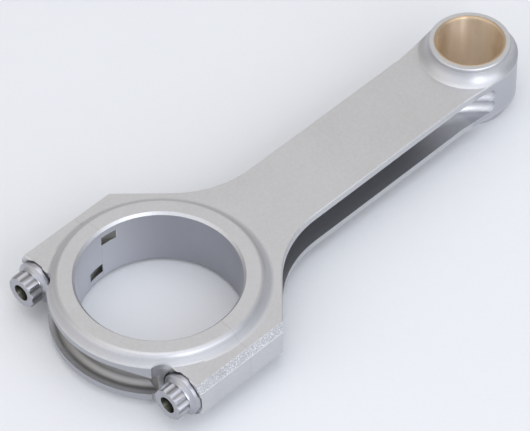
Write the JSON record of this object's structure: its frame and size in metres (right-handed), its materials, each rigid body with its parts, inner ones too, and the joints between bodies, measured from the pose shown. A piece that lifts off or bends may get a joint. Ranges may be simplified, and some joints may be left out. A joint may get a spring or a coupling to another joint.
{
  "type": "connecting rod",
  "caption": "H-beam engine connecting rod with a split big end, ribbed bearing cap, twelve-point cap bolts and a bronze-bushed small end.",
  "frame": {"origin": "centre of the big-end bore, at the middle of its width", "axes": "+X along the rod towards the small end, +Z along the crank axis, out of the big-end bore; the bearing-tang slots are on the +Y side"},
  "size_m": [0.2074, 0.0862, 0.0278],
  "materials": {
    "forged_steel": "fine bead-blasted satin, with bright turned fillets and chamfers",
    "bush_bronze": "honed bore",
    "bolt_steel": "smooth, semi-bright",
    "sleeve_steel": "ground"
  },
  "bodies": {
    "rod": {"rod_body": "forged_steel", "small_end_bush": "bush_bronze", "dowel_sleeve_left": "sleeve_steel", "dowel_sleeve_right": "sleeve_steel"},
    "cap": {"bearing_cap": "forged_steel"},
    "bolt_left": {"cap_bolt_left": "bolt_steel"},
    "bolt_right": {"cap_bolt_right": "bolt_steel"}
  },
  "joints": [
    {"name": "cap_draw", "type": "slide", "parent": "rod", "child": "cap", "axis": [-1, 0, 0], "range_m": [0, 0.03]},
    {"name": "bolt_left_draw", "type": "slide", "parent": "cap", "child": "bolt_left", "axis": [-1, 0, 0], "range_m": [0, 0.045]},
    {"name": "bolt_right_draw", "type": "slide", "parent": "cap", "child": "bolt_right", "axis": [-1, 0, 0], "range_m": [0, 0.045]}
  ]
}
